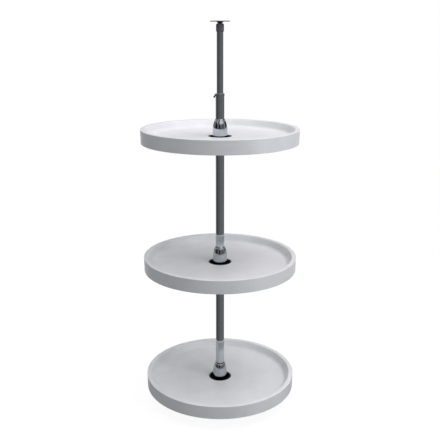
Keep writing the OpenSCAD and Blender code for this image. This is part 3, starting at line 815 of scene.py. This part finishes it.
# the paper takes the lamps' light and the object's soft shadow, and glows besides for the
# rays that see white
def buildFloor():
    bm = bmesh.new()
    bmesh.ops.create_circle(bm, cap_ends=True, segments=paper["sides"], radius=paper["radius"])
    bmesh.ops.translate(bm, vec=(*paper["middle"], -paper["drop"]), verts=bm.verts)
    ground = asObject("studio_floor", bm)
    material, tree, place = startMaterial("pale_studio_paper")
    reach = addNode(tree, "ShaderNodeVectorMath",
                    {"operation": "DISTANCE", 1: (*paper["middle"], 0)}, {0: place})
    fade = addNode(tree, "ShaderNodeMapRange",
                   {"From Min": paper["fadeFrom"], "From Max": paper["fadeTo"]},
                   {"Value": reach.outputs["Value"]})
    depth = addNode(tree, "ShaderNodeSeparateXYZ", {}, {0: place})
    behind = addNode(tree, "ShaderNodeMapRange",
                     {"From Min": paper["mirrorFrom"], "From Max": paper["mirrorTo"]},
                     {"Value": depth.outputs["Y"]})
    seen = whiteFor(tree, behind.outputs[0])
    ahead = addNode(tree, "ShaderNodeMath", {"operation": "SUBTRACT", 0: 1},
                    {1: behind.outputs[0]})
    glossy = addNode(tree, "ShaderNodeLightPath").outputs["Is Glossy Ray"]
    ahead = addNode(tree, "ShaderNodeMath", {"operation": "MULTIPLY"},
                    {0: glossy, 1: ahead.outputs[0]})
    gone = addNode(tree, "ShaderNodeMath", {"operation": "MAXIMUM"},
                   {0: fade.outputs[0], 1: ahead.outputs[0]})
    glow = addNode(tree, "ShaderNodeMath", {"operation": "MULTIPLY", 1: paper["glow"]}, {0: seen})
    matt = addNode(tree, "ShaderNodeBsdfDiffuse", {"Color": hexColour(paper["colour"])})
    lit = addNode(tree, "ShaderNodeEmission", {"Color": white}, {"Strength": glow.outputs[0]})
    both = addNode(tree, "ShaderNodeAddShader", {}, {0: matt.outputs[0], 1: lit.outputs[0]})
    clear = addNode(tree, "ShaderNodeBsdfTransparent")
    whole = addNode(tree, "ShaderNodeMixShader", {},
                    {0: gone.outputs[0], 1: both.outputs[0], 2: clear.outputs[0]})
    finishMaterial(tree, whole)
    ground.data.materials.append(material)


# the room. Metal and gloss see it as rings about the post, of (angle, level), with 0 in
# front and + to the right: dim cards low down, strips of light and black flags above
# them, and a roof of lit and dark panels. Behind and low down they see the white paper's
# sweep. Matt surfaces see soft daylight from above instead. The other rows are soft
# edges, (from, to, level at from, level at to) in the direction's height or depth
room = {
    "daylight": (-0.2, 1, 0, 0.68),
    "sweepAcross": (0.76, 0.88, 0, 1), "sweepAbove": (0.05, 0.12, 1, 0),
    "stripHeight": (-0.02, 0.05, 0, 1), "roofHeight": (0.3, 0.45, 0, 1), "roofLight": 1.6,
    "cards": [
        (-180, 0.2), (-140, 0.22), (-100, 0.16), (-72, 0.055), (-45, 0.13), (-8, 0.14),
        (15, 0.2), (42, 0.16), (70, 0.23), (100, 0.17), (140, 0.16), (180, 0.2)],
    "strips": [
        (-180, 0.2), (-115, 0.2), (-80, 0.18), (-73, 0), (-52, 0), (-44, 0.08), (-34, 0.22),
        (-24, 0.24), (-18, 0), (-2, 0), (5, 0.16), (30, 0.2), (44, 0.1), (60, 0.1),
        (76, 0.34), (90, 0.34), (99, 0), (130, 0), (140, 0.2), (180, 0.2)],
    "roof": [
        (-180, 0.6), (-130, 0.6), (-110, 0.4), (-98, 0.1), (-64, 0.05), (-56, 0.4),
        (-40, 0.4), (-32, 0.03), (-16, 0.03), (-4, 0.4), (8, 0.62), (64, 0.62), (78, 0.3),
        (88, 0.03), (112, 0.03), (124, 0.3), (140, 0.6), (180, 0.6)],
}


def buildRoom():
    world = bpy.data.worlds.new("studio_room")
    world.use_nodes = True
    tree = world.node_tree
    tree.nodes.clear()
    way = addNode(tree, "ShaderNodeTexCoord").outputs["Generated"]
    along = addNode(tree, "ShaderNodeSeparateXYZ", {}, {0: way}).outputs
    front = addNode(tree, "ShaderNodeMath", {"operation": "MULTIPLY", 1: -1}, {0: along["Y"]})
    about = addNode(tree, "ShaderNodeMath", {"operation": "ARCTAN2"},
                    {0: along["X"], 1: front.outputs[0]})
    turn = addNode(tree, "ShaderNodeMapRange", {"From Min": -math.pi, "From Max": math.pi},
                   {"Value": about.outputs[0]})

    # every soft edge, by what it follows
    follows = {"daylight": "Z", "stripHeight": "Z", "roofHeight": "Z", "sweepAcross": "Y",
               "sweepAbove": "Z"}
    share = {}
    for name, side in follows.items():
        low, high, first, last = room[name]
        edge = addNode(tree, "ShaderNodeMapRange",
                       {"From Min": low, "From Max": high, "To Min": first, "To Max": last},
                       {"Value": along[side]})
        share[name] = edge.outputs[0]

    rings = {}
    for name in ("cards", "strips", "roof"):
        ramp = addNode(tree, "ShaderNodeValToRGB", {}, {"Fac": turn.outputs[0]})
        points = ramp.color_ramp.elements
        while len(points) < len(room[name]):
            points.new(0.5)
        for point, (angle, level) in zip(points, room[name]):
            point.position = (angle + 180) / 360
            point.color = (level, level, level, 1)
        rings[name] = ramp.outputs["Color"]

    mirror = addNode(tree, "ShaderNodeMix", {"data_type": "RGBA"},
                     {0: share["stripHeight"], 6: rings["cards"], 7: rings["strips"]})
    roof = addNode(tree, "ShaderNodeMath", {"operation": "MULTIPLY", 1: room["roofLight"]},
                   {0: rings["roof"]})
    mirror = addNode(tree, "ShaderNodeMix", {"data_type": "RGBA"},
                     {0: share["roofHeight"], 6: mirror.outputs[2], 7: roof.outputs[0]})
    glossy = addNode(tree, "ShaderNodeLightPath").outputs["Is Glossy Ray"]
    base = addNode(tree, "ShaderNodeMix", {"data_type": "RGBA"},
                   {0: glossy, 6: share["daylight"], 7: mirror.outputs[2]})
    sweep = addNode(tree, "ShaderNodeMath", {"operation": "MULTIPLY"},
                    {0: share["sweepAcross"], 1: share["sweepAbove"]})
    whole = addNode(tree, "ShaderNodeMix", {"data_type": "RGBA", 7: white},
                    {0: whiteFor(tree, sweep.outputs[0]), 6: base.outputs[2]})
    back = addNode(tree, "ShaderNodeBackground", {}, {"Color": whole.outputs[2]})
    addNode(tree, "ShaderNodeOutputWorld", {}, {"Surface": back.outputs[0]})
    bpy.context.scene.world = world


# place, size, power and tint of the soft boxes, which all point at the middle of the
# post: those above are a breath violet, those at eye height a breath blue-green. In
# metal and gloss the room's strips stand for them
aim = Vector((0, 0, 0.5))
lamps = {
    "keyHigh": {"place": (1.28, -0.226, 2.752), "size": 1.5, "watts": 23.3, "tint": "#FFFAFF"},
    "keySide": {"place": (2.23, -1.287, 0.862), "size": 1.2, "watts": 18, "tint": "#F6FCFF"},
    "keyLow": {"place": (1.538, -1.435, 2.028), "size": 1.5, "watts": 8.7, "tint": "#FFFAFF"},
    "frontHigh": {"place": (-0.316, -1.179, 2.796), "size": 0.8, "watts": 5.8, "tint": "#FCFBFF"},
    "frontFill": {"place": (0, -2.443, 1.389), "size": 1.5, "watts": 4.2, "tint": "#EAFAFF"},
    "leftFill": {"place": (-2.395, -0.824, 1.085), "size": 1.5, "watts": 7, "tint": "#F2FBFF"},
    "backFill": {"place": (0.3, 2.45, 0.3), "size": 1, "watts": 7, "tint": "#F8FDFF"},
    "overhead": {"place": (0, 0, 3.4), "size": 2.5, "watts": 10.3, "tint": "#FFF9FF"},
}


def buildLamps():
    for name, look in lamps.items():
        data = bpy.data.lights.new(name, "AREA")
        data.shape, data.size, data.energy = "SQUARE", look["size"], look["watts"]
        data.color = hexColour(look["tint"])[:3]
        lamp = bpy.data.objects.new(name, data)
        lamp.location = look["place"]
        lamp.rotation_euler = (aim - lamp.location).to_track_quat("-Z", "Y").to_euler()
        lamp.visible_camera = False
        lamp.visible_glossy = False
        bpy.context.scene.collection.objects.link(lamp)


# the photograph's view: eye height and distance, tilt down and lens, from a fit to the
# three rims
view = {"place": (0.0, -1.967, 1.105), "tilt": 15.2549, "lens": 56.03, "sensor": 36}


def buildCamera():
    data = bpy.data.cameras.new("camera")
    data.lens, data.sensor_width = view["lens"], view["sensor"]
    camera = bpy.data.objects.new("camera", data)
    camera.location = view["place"]
    camera.rotation_euler = (math.radians(90 - view["tilt"]), 0, 0)
    bpy.context.scene.collection.objects.link(camera)
    bpy.context.scene.camera = camera


buildFloor()
buildRoom()
buildLamps()
buildCamera()
bpy.context.scene.view_settings.view_transform = "Standard"
print("studio made")
